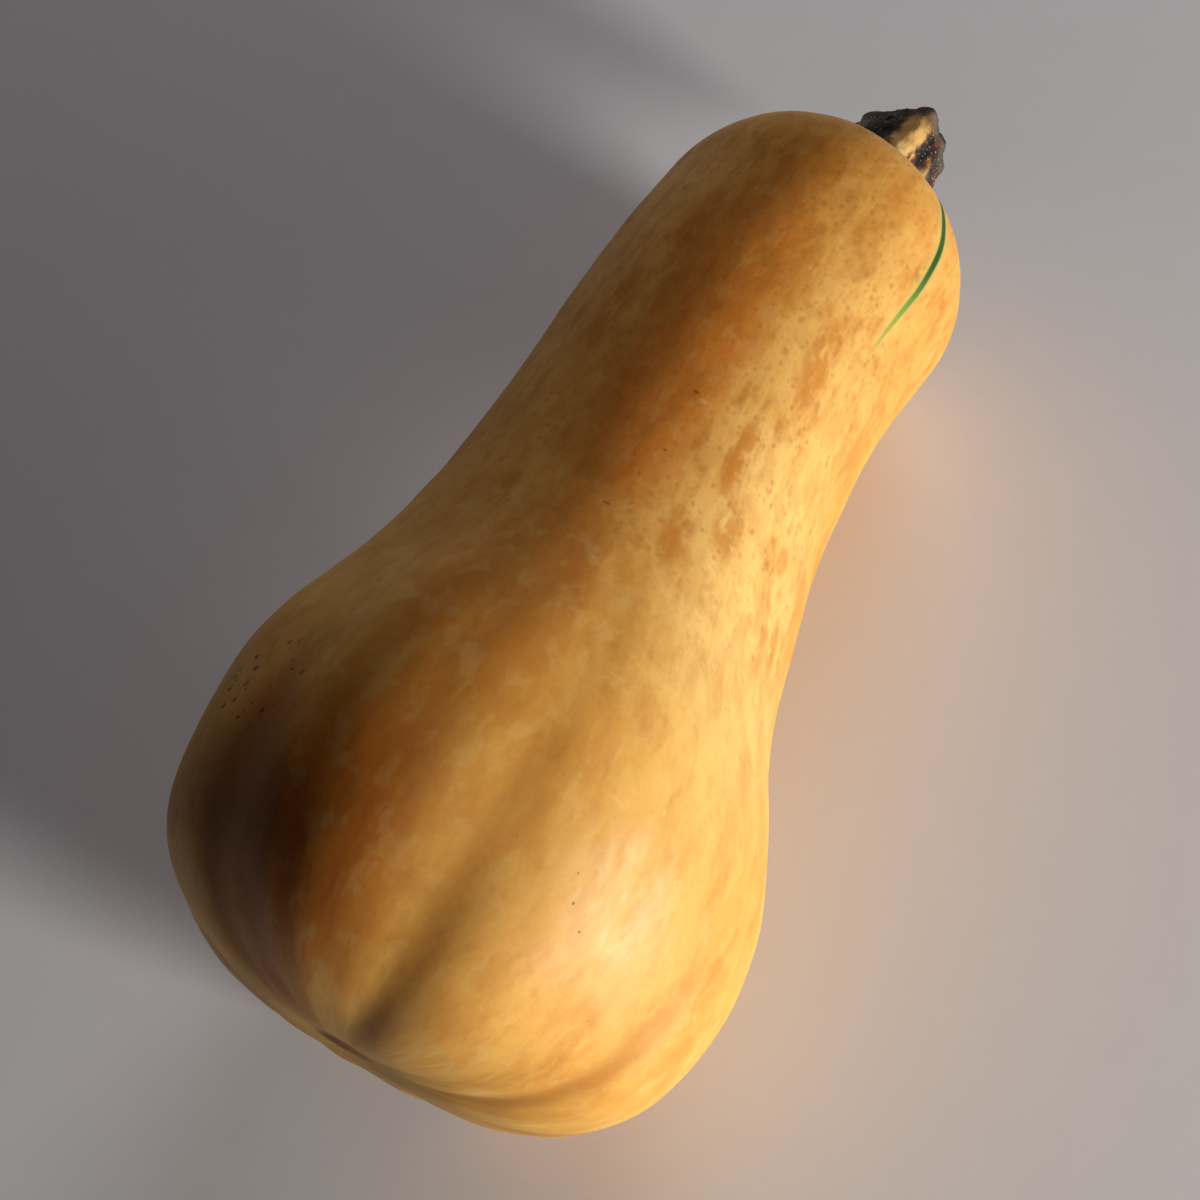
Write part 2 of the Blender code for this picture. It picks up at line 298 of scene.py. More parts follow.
# Camera of the photograph: where it looks, from how far and from which side
CAMERA_TARGET = Vector((-0.0020, 0.0143, 0.0))
CAMERA_DISTANCE = 0.5443
CAMERA_AZIMUTH = -65.50
CAMERA_ELEVATION = 58.0
CAMERA_ROLL = 1.0
CAMERA_LENS = 72.0


def colour_setting(name, description, default):
    return FloatVectorProperty(
        name=name, description=description, default=default, size=3, min=0, max=1, subtype="COLOR")


class FruitSettings(PropertyGroup):
    valley_depth: FloatProperty(
        name="Valley Depth", description="Depth of the bulb's valleys, as a share of the natural one",
        default=1.0, min=0.0, max=2.0, subtype="FACTOR")
    unevenness: FloatProperty(
        name="Unevenness", description="Height of the gentle unevenness of the rind",
        default=0.6 * MM, min=0.0, max=2 * MM, unit="LENGTH")
    rings: IntProperty(name="Rings", description="Rings of faces along the body", default=150, min=20)
    shoulder_rings: IntProperty(
        name="Shoulder Rings", description="Rings of faces on each rounded end", default=70, min=12)
    sides: IntProperty(name="Sides", description="Faces round the fruit", default=320, min=24)
    pale_colour: colour_setting(
        "Pale Rind", "Lightest colour of the ripe rind", (0.76, 0.43, 0.100))
    tan_colour: colour_setting(
        "Tan Rind", "Main colour of the ripe rind", (0.66, 0.32, 0.060))
    amber_colour: colour_setting(
        "Amber Rind", "Colour of the blotches and of the deepest clouds", (0.52, 0.195, 0.024))
    # Valleys: a deeper orange tint together with painted shade, darker the deeper the valley
    valley_tint_and_shade_colour: colour_setting(
        "Valley", "Colour of the rind down in the valleys", (0.40, 0.13, 0.016))
    freckle_colour: colour_setting(
        "Freckles", "Colour of the small soft dots on the neck", (0.42, 0.155, 0.020))
    # Cream rind: also laid over the right side as painted light, where the main light falls
    cream_colour: colour_setting(
        "Cream Rind", "Colour of the broad pale side", (0.84, 0.56, 0.185))
    # Redder rind, partly painted as the reddish edge of the shade along the top
    ruddy_and_shade_edge_colour: colour_setting(
        "Ruddy Rind", "Colour of the redder band along the top", (0.66, 0.185, 0.018))
    line_colour: colour_setting(
        "Green Line", "Colour of the green line beside the stem", (0.030, 0.082, 0.011))


class StemSettings(PropertyGroup):
    rings: IntProperty(name="Rings", description="Rings of faces up the stem", default=110, min=12)
    cut_rings: IntProperty(name="Cut Rings", description="Rings of faces on the cut", default=20, min=3)
    sides: IntProperty(name="Sides", description="Faces round the stem", default=220, min=20)
    ribbing: FloatProperty(
        name="Ribbing", description="Height of the fine upright fibres",
        default=0.3 * MM, min=0.0, max=2 * MM, unit="LENGTH")
    lumps: FloatProperty(
        name="Lumps", description="Height of the dried stem's lumps",
        default=0.7 * MM, min=0.0, max=3 * MM, unit="LENGTH")
    ragged_cut: FloatProperty(
        name="Ragged Cut", description="How uneven the rim of the cut is",
        default=0.9 * MM, min=0.0, max=4 * MM, unit="LENGTH")
    furrow_colour: colour_setting(
        "Furrows", "Colour of the dried furrows and of the rim", (0.012, 0.008, 0.006))
    foot_colour: colour_setting(
        "Foot", "Colour of the stem close to the fruit", (0.11, 0.03, 0.012))
    ridge_colour: colour_setting(
        "Ridges", "Golden colour of the ridges", (0.58, 0.34, 0.090))
    cream_colour: colour_setting(
        "Cream", "Colour of the palest cork", (0.70, 0.50, 0.22))
    speck_colour: colour_setting(
        "Specks", "Colour of the small pale warts", (0.85, 0.76, 0.50))


class StageSettings(PropertyGroup):
    floor_size: FloatProperty(
        name="Floor Size", description="Length of each side of the floor",
        default=6.0, min=1.0, unit="LENGTH")
    floor_colour: colour_setting(
        "Floor", "Colour of the plain floor", (0.90, 0.90, 0.92))
    key_power: FloatProperty(
        name="Key Light", description="Power of the soft main light",
        default=31.5, min=0.0, unit="POWER")
    second_power: FloatProperty(
        name="Second Light", description="Power of the weak light from the stem's side",
        default=5.4, min=0.0, unit="POWER")
    key_elevation: FloatProperty(
        name="Key Elevation", description="Height of the main light above the horizon",
        default=math.radians(9.3), min=0.0, max=math.radians(90), subtype="ANGLE")
    sky_strength: FloatProperty(
        name="Sky", description="Strength of the even light from all round",
        default=0.012, min=0.0, max=2.0)


def smooth_step(low, high, value):
    t = np.clip((value - low) / (high - low), 0.0, 1.0)
    return t * t * (3 - 2 * t)


def through(stations, values, place):
    """The heights at the places of the smooth curve that passes through the values."""
    slopes = np.gradient(values, stations)
    left = np.clip(np.searchsorted(stations, place) - 1, 0, len(stations) - 2)
    gap = stations[left + 1] - stations[left]
    t = np.clip((place - stations[left]) / gap, 0.0, 1.0)
    ends = values[left] * (1 + 2 * t) * (1 - t) ** 2 + values[left + 1] * t * t * (3 - 2 * t)
    inside = ends + gap * t * (1 - t) * (slopes[left] * (1 - t) - slopes[left + 1] * t)
    before = slopes[0] * np.minimum(place - stations[0], 0)
    after = slopes[-1] * np.maximum(place - stations[-1], 0)
    return inside + before + after


def bell(angle, centre, half_width):
    """1 at the centre angle, falling smoothly to 0 on both sides; angles in degrees."""
    away = (angle - centre + 180) % 360 - 180
    return np.exp(-((away / half_width) ** 2))


def unevenness(places, grain, height):
    """Smooth random heights: lumps of about the grain's size, the same on each run."""
    flat = places.reshape(-1, 3) / grain
    values = np.array([noise.noise(Vector(point)) for point in flat])
    return height * values.reshape(places.shape[:-1])


def moved(points, matrix):
    turn = np.array(matrix.to_3x3())
    return points @ turn.T + np.array(matrix.translation)


def shoulder(length, fullness, rings):
    """How far along a shoulder each ring is, and its share of the full radius."""
    turn = np.linspace(0, 0.5 * math.pi, rings, endpoint=False)
    along = length * (1 - np.cos(turn) ** (2 / fullness))
    return along, np.sin(turn) ** (2 / fullness)


def seat_station():
    """The station where the neck's shoulder has narrowed to the stem seat."""
    full = through(BODY_STATIONS, BODY_RADII, np.array(FRUIT_LENGTH))
    share = (1 - (SEAT_RADIUS / full) ** NECK_FULLNESS) ** (1 / NECK_FULLNESS)
    return float(FRUIT_LENGTH - NECK_SHOULDER * (1 - share))


def fruit_profile(settings):
    """Stations and radii of the rings, from the blossom end to the middle of the stem seat."""
    along, share = shoulder(BLOSSOM_SHOULDER, BLOSSOM_FULLNESS, settings.shoulder_rings)
    blossom_radii = share * through(BODY_STATIONS, BODY_RADII, along)
    dimple = DIMPLE_DEPTH * np.exp(-((blossom_radii / DIMPLE_RADIUS) ** 2))
    dimple -= SCAR_HEIGHT * np.exp(-((blossom_radii / SCAR_RADIUS) ** 2))
    body = np.linspace(BLOSSOM_SHOULDER, FRUIT_LENGTH - NECK_SHOULDER, settings.rings)
    neck_along, neck_share = shoulder(NECK_SHOULDER, NECK_FULLNESS, settings.shoulder_rings)
    neck = FRUIT_LENGTH - neck_along[::-1]
    neck_radii = neck_share[::-1] * through(BODY_STATIONS, BODY_RADII, neck)
    outside = (neck_radii > SEAT_RADIUS) & (neck > body[-1])
    seat_radii = np.linspace(SEAT_RADIUS, 0.0, 8)
    seat = np.full(len(seat_radii), seat_station())
    stations = np.concatenate([along + dimple, body, neck[outside], seat])
    radii = np.concatenate([blossom_radii, through(BODY_STATIONS, BODY_RADII, body),
                            neck_radii[outside], seat_radii])
    return stations, radii


def valley_depths(stations, radii, angles):
    """How deep the bulb's valleys are at each point."""
    depth = 0.0 * stations * angles
    for start_angle, end_angle, deepest, width, start_radius, reach in BULB_VALLEYS:
        centre = start_angle + (end_angle - start_angle) * np.clip(stations / reach, 0, 1)
        fade = smooth_step(VALLEY_START * start_radius, start_radius, radii)
        fade = fade * (1 - smooth_step(VALLEY_FADE * reach, reach, stations))
        depth += deepest * fade * bell(angles, centre, width)
    return depth


def swelling(stations, radii, angles):
    """How far the bulb's lobes and the neck's ridges stand out at each point."""
    height = 0.0 * stations * angles
    for centre, rise, width, middle, length in BULB_LOBES:
        height += rise * bell(angles, centre, width) * np.exp(-(((stations - middle) / length) ** 2))
    height *= smooth_step(0.0, LOBE_START_RADIUS, radii)
    along = smooth_step(*RIDGE_RISE, stations) * (1 - smooth_step(*RIDGE_FALL, stations))
    for centre, rise, width in NECK_RIDGES:
        height += rise * along * bell(angles, centre, width)
    return height


def scar_heights(stations, radii, angles):
    height = 0.0 * stations * angles
    for station, angle, length, width, rise in SCARS:
        aside = np.radians((angles - angle + 180) % 360 - 180) * radii
        height += rise * np.exp(-((stations - station) / length) ** 2 - (aside / width) ** 2)
    return height


def raised(stations, radii, relief):
    """Stations and radii of the profile's points, moved out along its normal by the relief."""
    run = np.gradient(stations[:, 0])[:, None]
    rise = np.gradient(radii[:, 0])[:, None]
    slope = np.hypot(run, rise) + 1e-12
    on_seat = (radii <= SEAT_RADIUS) & (stations > NECK_START)
    relief = np.where(on_seat, 0.0, relief)
    return stations - relief * rise / slope, radii + relief * run / slope


def line_points(stations):
    left = through(LINE_STATIONS, LINE_LEFT, stations)
    up = through(LINE_STATIONS, LINE_UP, stations)
    return np.stack([stations, left, up], axis=-1)


def line_axes(stations):
    """The directions ahead, left and up of the centre line at each station."""
    step = 0.5 * MM
    ahead = line_points(stations + step) - line_points(stations - step)
    ahead /= np.linalg.norm(ahead, axis=-1, keepdims=True)
    left = np.cross(np.array([0.0, 0.0, 1.0]), ahead)
    left /= np.linalg.norm(left, axis=-1, keepdims=True)
    return ahead, left, np.cross(ahead, left)


def bent(along, across, angles):
    """Points of the turned shape carried onto the centre line."""
    turn = np.radians(angles)
    _, left, up = line_axes(along)
    leftward = (across * np.sin(turn))[..., None] * left
    upward = (across * np.cos(turn))[..., None] * up
    return line_points(along) + leftward + upward


def fruit_grid(settings):
    """Stations and radii of the rings as columns, the angles of the sides as a row."""
    stations, radii = fruit_profile(settings)
    angles = np.linspace(-180, 180, settings.sides, endpoint=False)
    return stations[1:-1, None], radii[1:-1, None], angles[None, :]


def fruit_place(settings):
    """The matrix that lays the bent fruit on its belly and its neck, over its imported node."""
    stations, radii, angles = fruit_grid(settings)
    relief = swelling(stations, radii, angles) - valley_depths(stations, radii, angles)
    points = bent(*raised(stations, radii, relief), angles).reshape(-1, 3)
    place = Matrix.Identity(4)
    for _ in range(REST_ROUNDS):
        belly = lowest(points, points[:, 0] <= BULB_END)
        neck = lowest(points, points[:, 0] >= NECK_START)
        tilt = math.atan2(neck[2] - belly[2], neck[0] - belly[0])
        step = Matrix.Rotation(tilt, 4, "Y") @ Matrix.Translation(-Vector(belly))
        points = moved(points, step)
        place = step @ place
    low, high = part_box("fruit")
    middle = (points.min(axis=0) + points.max(axis=0)) / 2
    shift = ((low.x + high.x) / 2 - middle[0], (low.y + high.y) / 2 - middle[1], -REST_PRESS)
    return Matrix.Translation(shift) @ place


def lowest(points, chosen):
    return points[np.where(chosen, points[:, 2], np.inf).argmin()]


def ring_mesh(name, rings, ends, mapping, marks):
    """A closed mesh from rings of points and two end points, with what its material reads."""
    count, sides = rings.shape[:2]
    points = np.concatenate([rings.reshape(-1, 3), ends])
    here = np.arange(count * sides).reshape(count, sides)
    beside = np.roll(here, -1, axis=1)
    quads = np.stack([here[:-1], here[1:], beside[1:], beside[:-1]], axis=-1).reshape(-1, 4)
    first = count * sides
    start_fan = [(first, a, b) for a, b in zip(here[0].tolist(), beside[0].tolist())]
    end_fan = [(first + 1, b, a) for a, b in zip(here[-1].tolist(), beside[-1].tolist())]
    mesh = bpy.data.meshes.new(name)
    mesh.from_pydata(points.tolist(), [], quads.tolist() + start_fan + end_fan)
    mesh.shade_smooth()
    for layer_name, values in (("surface_map", mapping), ("surface_marks", marks)):
        end_values = np.stack([values[0].mean(axis=0), values[-1].mean(axis=0)])
        layer = mesh.attributes.new(layer_name, "FLOAT_VECTOR", "POINT")
        flat = np.concatenate([values.reshape(-1, 3), end_values]).astype(np.float32)
        layer.data.foreach_set("vector", flat.ravel())
    return mesh


def surface_map(angles, radius, heights):
    """Where each point lies on an even cylinder, in centimetres: across, up and along."""
    turn = np.radians(angles)
    along = heights / CM
    across = radius * np.sin(turn) * np.ones_like(along)
    up = radius * np.cos(turn) * np.ones_like(along)
    return np.stack([across, up, along * np.ones_like(across)], axis=-1)


def fruit_mesh(settings):
    stations, radii, angles = fruit_grid(settings)
    valleys = settings.valley_depth * valley_depths(stations, radii, angles)
    relief = swelling(stations, radii, angles) - valleys + scar_heights(stations, radii, angles)
    turn = np.radians(angles)
    shape = np.stack(np.broadcast_arrays(radii * np.sin(turn), radii * np.cos(turn), stations), -1)
    calm = 1 - smooth_step(RIDGE_FALL[1], seat_station(), stations)
    uneven = unevenness(shape, BROAD_GRAIN, settings.unevenness)
    uneven += unevenness(shape + 1.0, SMALL_GRAIN, SMALL_GRAIN_SHARE * settings.unevenness)
    along, across = raised(stations, radii, relief + calm * uneven)
    place = fruit_place(settings)
    rings = moved(bent(along, across, angles), place)
    rings[..., 2] = np.maximum(rings[..., 2], 0.0)
    ends = moved(line_points(fruit_profile(settings)[0][[0, -1]]), place)
    marks = np.stack([valleys / MM, radii / CM * np.ones_like(along), 0 * along], -1)
    return ring_mesh("squash_fruit", rings, ends, surface_map(angles, MAP_RADIUS, along), marks)


def stem_relief(heights, angles):
    """Ridges with furrows between them, slimmer at mid height."""
    crest = 0.0 * heights * angles
    for centre, rise, width in STEM_RIDGES:
        crest = np.maximum(crest, rise * bell(angles, centre, width))
    slimmer = STEM_SLIMMING * np.sin(math.pi * np.clip(heights / STEM_HEIGHT, 0, 1)) ** 2
    return crest * (1 - slimmer) - FURROW_DEPTH


def stem_profile(settings):
    """Heights, radii and share of the outer radius: across the foot, up, and into the cut."""
    table_heights, table_radii = (np.array(column) for column in zip(*STEM_OUTLINE))
    side_heights = np.linspace(0, STEM_HEIGHT, settings.rings)
    side_radii = through(table_heights, table_radii, side_heights)
    foot_share = np.linspace(0, 1, 8)[1:-1]
    cut_share = np.linspace(1, 0, settings.cut_rings + 2)[1:-1]
    cut_heights = STEM_HEIGHT - CUT_HOLLOW * (1 - cut_share ** 2)
    heights = np.concatenate([0 * foot_share, side_heights, cut_heights])
    radii = np.concatenate([foot_share * side_radii[0], side_radii, cut_share * side_radii[-1]])
    share = np.concatenate([foot_share, np.ones(settings.rings), cut_share])
    return heights[:, None], radii[:, None], share[:, None]


def stem_mesh(settings, place):
    heights, radii, share = stem_profile(settings)
    angles = np.linspace(-180, 180, settings.sides, endpoint=False)[None, :]
    turn = np.radians(angles)
    up = np.clip(heights / STEM_HEIGHT, 0, 1)
    ridges = stem_relief(heights, angles)
    round_map = surface_map(angles, 1.0, heights) * CM
    loose = share * smooth_step(0.0, 0.12, up)
    fibres = unevenness(round_map * (1, 1, 0.3), FIBRE_GRAIN, settings.ribbing)
    lumps = unevenness(round_map + 1.0, LUMP_GRAIN, settings.lumps)
    outer = np.interp(heights, *(np.array(column) for column in zip(*STEM_OUTLINE)))
    across = radii * (1 + (ridges + loose * (fibres + lumps)) / outer)
    leftward, upward = across * np.sin(turn), across * np.cos(turn)
    slant = math.radians(CUT_SLANT_ANGLE)
    aside = leftward * math.sin(slant) + upward * math.cos(slant)
    ragged = unevenness(surface_map(angles, 1.0, 0 * heights), RAGGED_GRAIN, settings.ragged_cut)
    tops = heights + (CUT_SLANT * aside + ragged * share) * up ** 3
    lean = math.radians(STEM_LEAN_ANGLE)
    leftward = leftward + STEM_LEAN * up ** 2 * math.sin(lean)
    upward = upward + STEM_LEAN * up ** 2 * math.cos(lean)
    ahead, left, upright = (axis[0] for axis in line_axes(np.array([seat_station()])))
    base = line_points(np.array(seat_station())) + STEM_GAP * ahead
    rings = base + leftward[..., None] * left + upward[..., None] * upright
    rings = rings + tops[..., None] * ahead
    tip = base + (STEM_HEIGHT - CUT_HOLLOW) * ahead
    tip = tip + STEM_LEAN * (math.sin(lean) * left + math.cos(lean) * upright)
    crest = (ridges + FURROW_DEPTH) / FULL_CREST
    cut = (1 - share) * (heights > STEM_HEIGHT / 2) * np.ones_like(crest)
    marks = np.stack([crest, up * np.ones_like(crest), cut], -1)
    mapping = surface_map(angles, 1.0, heights)
    ends = moved(np.stack([base, tip]), place)
    return ring_mesh("squash_stem", moved(rings, place), ends, mapping, marks)


class Graph:
    """Adds shader nodes to a tree. A value is a socket, a number, a colour or a vector."""

    def __init__(self, tree):
        self.tree = tree
        tree.nodes.clear()

    def feed(self, socket, value):
        if isinstance(value, bpy.types.NodeSocket):
            self.tree.links.new(value, socket)
        elif hasattr(value, "__len__") and len(value) == 3 and socket.type == "RGBA":
            socket.default_value = (*value, 1.0)
        else:
            socket.default_value = value

    def node(self, kind, values=(), **options):
        node = self.tree.nodes.new(kind)
        for name, option in options.items():
            setattr(node, name, option)
        for name, value in dict(values).items():
            self.feed(node.inputs[name], value)
        return node

    def math(self, operation, *values):
        node = self.node("ShaderNodeMath", operation=operation)
        for socket, value in zip(node.inputs, values):
            self.feed(socket, value)
        return node.outputs[0]

    def chain(self, operation, values):
        total = values[0]
        for value in values[1:]:
            total = self.math(operation, total, value)
        return total

    def times(self, *values):
        return self.chain("MULTIPLY", values)

    def plus(self, *values):
        return self.chain("ADD", values)

    def most(self, *values):
        return self.chain("MAXIMUM", values)

    def step(self, value, low, high, smooth=True):
        """0 below low and 1 above high, or the other way round where low is the higher one."""
        kind = "SMOOTHSTEP" if smooth else "LINEAR"
        swapped = not isinstance(low, bpy.types.NodeSocket) and low > high
        start, end = (1.0, 0.0) if swapped else (0.0, 1.0)
        low, high = (high, low) if swapped else (low, high)
        node = self.node("ShaderNodeMapRange", {"Value": value, "From Min": low, "From Max": high,
                                                "To Min": start, "To Max": end}, interpolation_type=kind)
        return node.outputs[0]

    def blend(self, share, first, second):
        node = self.node("ShaderNodeMix", data_type="RGBA")
        for socket, value in ((0, share), (6, first), (7, second)):
            self.feed(node.inputs[socket], value)
        return node.outputs[2]

    def paint(self, colour, paint, *shares):
        """The colour with a share of the paint over it; several shares multiply."""
        return self.blend(self.times(*shares), colour, paint)

    def tinted(self, colour, tint):
        return self.node("ShaderNodeVectorMath", {0: colour, 1: self.joined(tint, tint, tint)},
                         operation="MULTIPLY").outputs[0]

    def noise(self, vector, scale, detail=2.0, roughness=0.5, distortion=0.0):
        node = self.node("ShaderNodeTexNoise", {"Vector": vector, "Scale": scale, "Detail": detail,
                                                "Roughness": roughness, "Distortion": distortion})
        return node.outputs[0]

    def surface(self, values):
        """The material's shader with its values, joined to the output."""
        shader = self.node("ShaderNodeBsdfPrincipled", values)
        self.node("ShaderNodeOutputMaterial", {"Surface": shader.outputs[0]})

    def scaled(self, vector, scales):
        node = self.node("ShaderNodeVectorMath", operation="MULTIPLY")
        self.feed(node.inputs[0], vector)
        self.feed(node.inputs[1], scales)
        return node.outputs[0]

    def parts(self, vector):
        return self.node("ShaderNodeSeparateXYZ", {"Vector": vector}).outputs

    def joined(self, x, y, z):
        return self.node("ShaderNodeCombineXYZ", {"X": x, "Y": y, "Z": z}).outputs[0]

    def attribute(self, name):
        node = self.node("ShaderNodeAttribute", attribute_name=name)
        return node.outputs["Vector"]

    def group(self, name, values):
        node = self.node("ShaderNodeGroup", node_tree=bpy.data.node_groups[name])
        for socket_name, value in values.items():
            self.feed(node.inputs[socket_name], value)
        return node.outputs[0]


def start_group(name, inputs, outputs):
    """A new shader node group with its sockets, and the graph, inputs and output node."""
    tree = bpy.data.node_groups.new(name, "ShaderNodeTree")
    for socket_name, kind in inputs.items():
        tree.interface.new_socket(socket_name, in_out="INPUT", socket_type="NodeSocket" + kind)
    for socket_name, kind in outputs.items():
        tree.interface.new_socket(socket_name, in_out="OUTPUT", socket_type="NodeSocket" + kind)
    graph = Graph(tree)
    return graph, graph.node("NodeGroupInput").outputs, graph.node("NodeGroupOutput").inputs


def make_mottle_group():
    """Soft clouds, drawn out along the piece; both scales are in clouds per centimetre."""
    graph, given, result = start_group(
        "Mottle", {"Map": "Vector", "Around": "Float", "Along": "Float", "Detail": "Float",
                   "Low": "Float", "High": "Float"}, {"Mask": "Float"})
    scales = graph.joined(given["Around"], given["Around"], given["Along"])
    cloud = graph.noise(graph.scaled(given["Map"], scales), 1.0, given["Detail"], 0.55, 0.3)
    graph.feed(result["Mask"], graph.step(cloud, given["Low"], given["High"]))


def make_dots_group():
    """Scattered soft dots of different sizes; Share is how many of the places hold a dot."""
    graph, given, result = start_group(
        "Dots", {"Map": "Vector", "Around": "Float", "Along": "Float", "Size": "Float",
                 "Softness": "Float", "Share": "Float"}, {"Mask": "Float"})
    scales = graph.joined(given["Around"], given["Around"], given["Along"])
    even = graph.scaled(given["Map"], scales)
    waver = graph.node("ShaderNodeTexNoise", {"Vector": even, "Scale": 2.2, "Detail": 2.0})
    waver = graph.scaled(waver.outputs["Color"], (0.45, 0.45, 0.45))
    uneven = graph.node("ShaderNodeVectorMath", {0: even, 1: waver}, operation="ADD").outputs[0]
    cells = graph.node("ShaderNodeTexVoronoi", {"Vector": uneven, "Scale": 1.0, "Randomness": 0.95})
    chance = graph.parts(cells.outputs["Color"])
    present = graph.math("LESS_THAN", chance[0], given["Share"])
    size = graph.times(given["Size"], graph.plus(graph.times(chance[1], 0.8), 0.5))
    edge = graph.plus(size, given["Softness"])
    node = graph.node("ShaderNodeMapRange", {"Value": cells.outputs["Distance"], "From Min": size,
                                             "From Max": edge, "To Min": 1.0, "To Max": 0.0},
                      interpolation_type="SMOOTHSTEP")
    strength = graph.plus(graph.times(chance[2], 0.6), 0.4)
    graph.feed(result["Mask"], graph.times(node.outputs[0], present, strength))


def make_patch_group():
    """A soft oval patch at one place; Girth is the piece's own radius there in centimetres."""
    graph, given, result = start_group(
        "Patch", {"Map": "Vector", "Girth": "Float", "Station": "Float", "Angle": "Float",
                  "Half Length": "Float", "Half Width": "Float"}, {"Mask": "Float"})
    place = graph.parts(given["Map"])
    turn = graph.math("ARCTAN2", place[0], place[1])
    away = graph.math("SUBTRACT", turn, graph.math("RADIANS", given["Angle"]))
    away = graph.math("WRAP", away, math.pi, -math.pi)
    aside = graph.math("DIVIDE", graph.times(away, given["Girth"]), given["Half Width"])
    ahead = graph.math("SUBTRACT", place[2], given["Station"])
    ahead = graph.math("DIVIDE", ahead, given["Half Length"])
    reach = graph.math("SQRT", graph.plus(graph.times(aside, aside), graph.times(ahead, ahead)))
    graph.feed(result["Mask"], graph.step(reach, 1.0, 0.35))


class SurfaceGraph(Graph):
    """The graph of a piece's material, with the patterns laid on the piece's own map."""

    def __init__(self, tree, girth=None):
        super().__init__(tree)
        self.place = self.attribute("surface_map")
        self.marks = self.parts(self.attribute("surface_marks"))
        self.station = self.parts(self.place)[2]
        self.girth = self.marks[1] if girth is None else girth

    def mottle(self, around, along, low, high, detail):
        return self.group("Mottle", {"Map": self.place, "Around": around, "Along": along,
                                     "Detail": detail, "Low": low, "High": high})

    def dots(self, around, along, size, softness, share):
        return self.group("Dots", {"Map": self.place, "Around": around, "Along": along,
                                   "Size": size, "Softness": softness, "Share": share})

    def patch(self, station, angle, length, width):
        return self.group("Patch", {"Map": self.place, "Girth": self.girth, "Station": station,
                                    "Angle": angle, "Half Length": length, "Half Width": width})


def new_material(name):
    material = bpy.data.materials.new(name)
    material.use_nodes = True
    return material


def rind_masks(graph):
    """The masks that more than one part of the rind's looks is made from."""
    return SimpleNamespace(
        on_neck=graph.step(graph.station, 6.0, 12.0),
        away_from_ends=graph.step(graph.girth, 1.2, 2.6),
        clouds=graph.mottle(0.30, 0.12, 0.36, 0.66, 3.0),
        fine=graph.mottle(3.6, 1.7, 0.30, 0.70, 3.0),
        edge=graph.mottle(3.2, 1.6, 0.30, 0.70, 3.0),
        threads=graph.noise(graph.scaled(graph.place, (9.0, 9.0, 1.3)), 1.0, 2.0, 0.5, 0.2),
        grain=graph.noise(graph.place, 14.0, 3.0))


def mottled(graph, masks, settings):
    """The rind's pale and tan clouds, its broad sides and the soft mottling over them.

    The broad sides hold painted light on the right, a redder band partly painted as the edge of
    the shade, and painted shade on the bulb's left; the waxy patch is partly a painted highlight.
    """
    plus, times, mottle, paint = graph.plus, graph.times, graph.mottle, graph.paint
    soft = mottle(1.1, 0.55, 0.30, 0.70, 4.0)
    tan_share = plus(times(masks.clouds, 0.35), times(soft, 0.45), times(masks.fine, 0.30),
                     times(masks.on_neck, 0.10))
    colour = graph.blend(tan_share, settings.pale_colour, settings.tan_colour)
    broken = plus(times(soft, 0.3), 0.8)
    # The broad sides: painted light on the right, a redder band partly painted as the edge of the shade,
    # and painted shade on the bulb's left
    for places, hue in ((PALE_AND_PAINTED_LIGHT_SIDES, settings.cream_colour), (RUDDY_AND_SHADE_EDGE_SIDES, settings.ruddy_and_shade_edge_colour),
                        (PAINTED_SHADE_SIDES, PAINTED_SHADE_COLOUR)):
        for *where, strength in places:
            colour = paint(colour, hue, graph.patch(*where), strength, broken)
    deeper = times(mottle(1.6, 0.75, 0.46, 0.70, 4.0), plus(times(masks.fine, 0.55), 0.25))
    more_on_neck = plus(times(masks.on_neck, 0.6), 0.4)
    colour = paint(colour, settings.amber_colour, deeper, more_on_neck, masks.away_from_ends)
    threads = graph.step(masks.threads, 0.55, 0.30)
    colour = paint(colour, settings.amber_colour, threads, masks.on_neck, 0.16)
    cloudy = mottle(2.1, 1.15, 0.44, 0.60, 4.0)
    colour = paint(colour, settings.amber_colour, cloudy, 0.24)
    flecks = mottle(3.1, 2.0, 0.50, 0.66, 3.0)
    fewer_on_neck = plus(0.26, times(masks.on_neck, -0.10))
    colour = paint(colour, settings.cream_colour, flecks, fewer_on_neck)
    # A pale waxy patch, partly a painted highlight
    waxy_highlight = plus(times(masks.fine, 0.35), 0.08)
    return paint(colour, WAX_AND_HIGHLIGHT_COLOUR, graph.patch(*WAX_AND_HIGHLIGHT_PATCH), waxy_highlight)


def blotched(graph, masks, settings, colour):
    """Amber blotches, drawn out along the neck and at their own places, and valleys darkened with
    a deeper orange tint and painted shade.
    """
    plus, times, step, paint = graph.plus, graph.times, graph.step, graph.paint
    drawn_out = graph.noise(graph.scaled(graph.place, (0.95, 0.95, 0.28)), 1.0, 3.0, 0.6, 0.4)
    patches = step(plus(drawn_out, times(masks.edge, 0.10)), 0.58, 0.72)
    patchy = plus(times(masks.on_neck, 0.46), 0.04)
    colour = paint(colour, settings.amber_colour, patches, patchy, masks.away_from_ends)
    ragged = step(masks.edge, -0.1, 0.6)
    for *where, strength in BLOTCHES:
        colour = paint(colour, settings.amber_colour, graph.patch(*where), strength, ragged)
    # The valleys get a deeper orange tint and painted shade, more where they are deeper
    valley_tint_and_shade = step(graph.marks[0], 0.1, 1.4)
    return paint(colour, settings.valley_tint_and_shade_colour, valley_tint_and_shade, 0.75)


